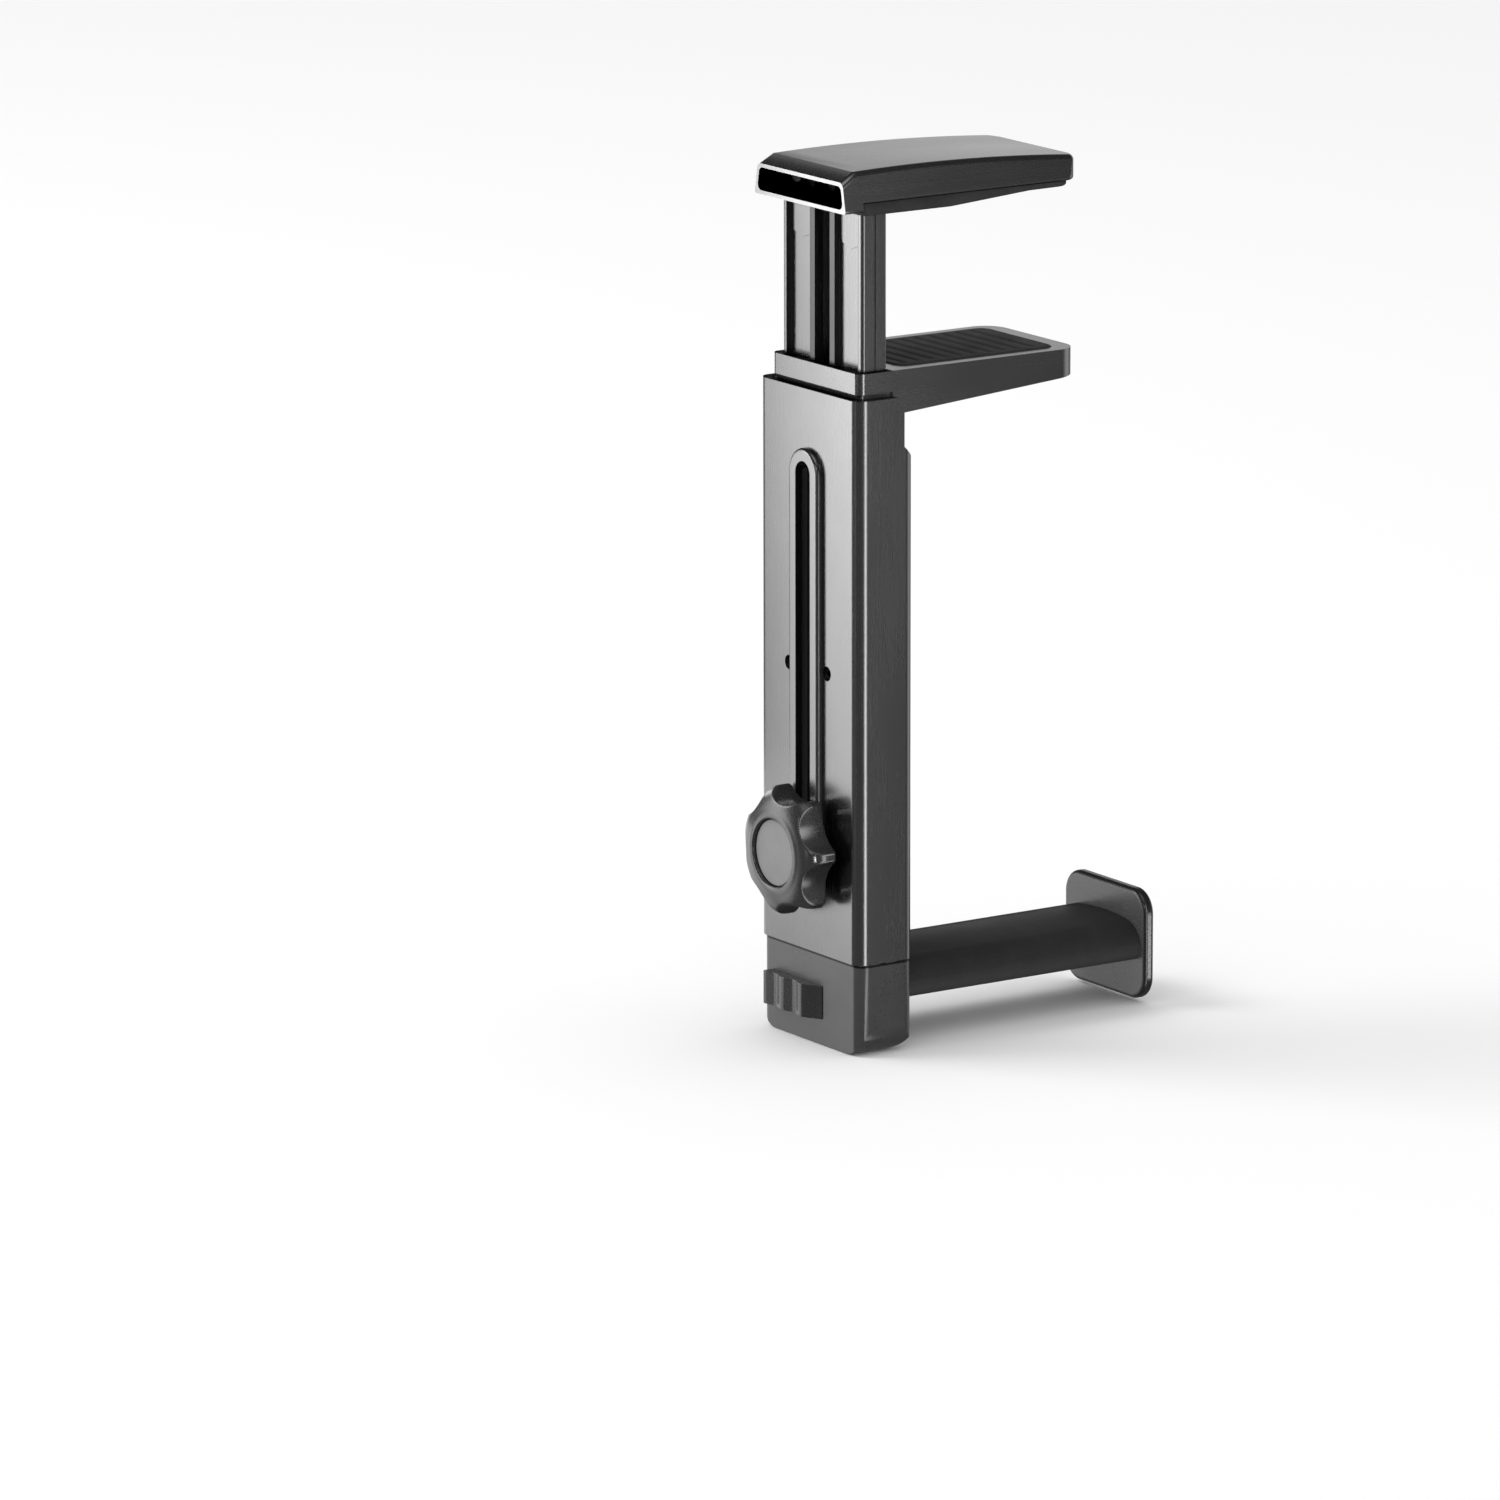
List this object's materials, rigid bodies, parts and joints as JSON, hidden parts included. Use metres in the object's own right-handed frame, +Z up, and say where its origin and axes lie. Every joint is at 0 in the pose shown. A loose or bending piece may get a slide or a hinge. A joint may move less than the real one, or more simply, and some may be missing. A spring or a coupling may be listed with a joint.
{
  "type": "headphone hook",
  "caption": "Desk-clamp headphone hook: slotted extrusion body, sliding grooved rail with arched jaw, star knob, folding arm with end plate and a release slider.",
  "frame": {"origin": "middle of the desk's lower front edge: the lower pad's top is z = 0 and the rail's back face is y = 0", "axes": "+Z up, +Y under the desk, X across the body's width"},
  "size_m": [0.032, 0.0761, 0.162],
  "materials": {
    "anodised_aluminium": "satin black anodised, brushed",
    "bare_edge_aluminium": "satin black anodised with a bare machined edge",
    "black_plastic": "moulded, fine satin texture",
    "knob_plastic": "moulded, satin",
    "disc_plastic": "smooth satin inset",
    "rubber_pad": "matt",
    "steel": "zinc plated",
    "black_steel": "black oxide",
    "zinc": "die-cast zinc, black",
    "brass": "machined",
    "bronze": "sintered bush"
  },
  "bodies": {
    "frame": {"main_body": "anodised_aluminium", "lower_jaw": "anodised_aluminium", "lower_jaw_pad": "rubber_pad", "lower_jaw_screws": "black_steel", "slot_liner": "anodised_aluminium", "guide_plate": "black_plastic", "guide_screws": "black_steel", "end_cap": "black_plastic", "cap_dowels": "steel", "hinge_carrier": "zinc", "carrier_screws": "black_steel", "hinge_pin": "steel", "latch_spring": "steel"},
    "jaw": {"rail": "anodised_aluminium", "rail_glides": "black_plastic", "rail_keepers": "anodised_aluminium", "upper_jaw": "bare_edge_aluminium", "upper_jaw_pad": "rubber_pad", "jaw_bracket": "zinc", "jaw_screws": "steel"},
    "bolt": {"clamp_bolt": "steel"},
    "washer": {"knob_washer": "black_steel"},
    "knob": {"knob": "knob_plastic", "knob_insert": "brass", "knob_disc": "disc_plastic"},
    "latch": {"release_slider": "knob_plastic", "latch_bolt": "steel", "latch_screw": "steel"},
    "hook": {"hook_arm": "black_plastic", "hinge_bushes": "bronze", "end_plate": "black_plastic", "end_plate_screws": "black_steel"}
  },
  "joints": [
    {"name": "clamp_slide", "type": "slide", "parent": "frame", "child": "jaw", "axis": [0, 0, 1], "range_m": [-0.01, 0.055]},
    {"name": "lock_slide", "type": "slide", "parent": "frame", "child": "bolt", "axis": [0, 0, 1], "range_m": [-0.002, 0.066]},
    {"name": "knob_lift", "type": "slide", "parent": "bolt", "child": "washer", "axis": [0, -1, 0], "range_m": [0, 0.0014]},
    {"name": "knob_turn", "type": "hinge", "parent": "washer", "child": "knob", "pos_m": [0, -0.0104, -0.0893], "axis": [0, -1, 0], "range_deg": [0, 720.5]},
    {"name": "latch_slide", "type": "slide", "parent": "frame", "child": "latch", "axis": [1, 0, 0], "range_m": [0, 0.0035], "stiffness_N_per_m": 150, "springref_m": -0.002, "deforming": ["latch_spring"]},
    {"name": "hook_fold", "type": "hinge", "parent": "frame", "child": "hook", "pos_m": [0, 0.0018, -0.1122], "axis": [1, 0, 0], "range_deg": [0, 78]}
  ],
  "couplings": [
    {"joint": "knob_turn", "follows": "knob_lift", "rad_per_m": 8976}
  ]
}
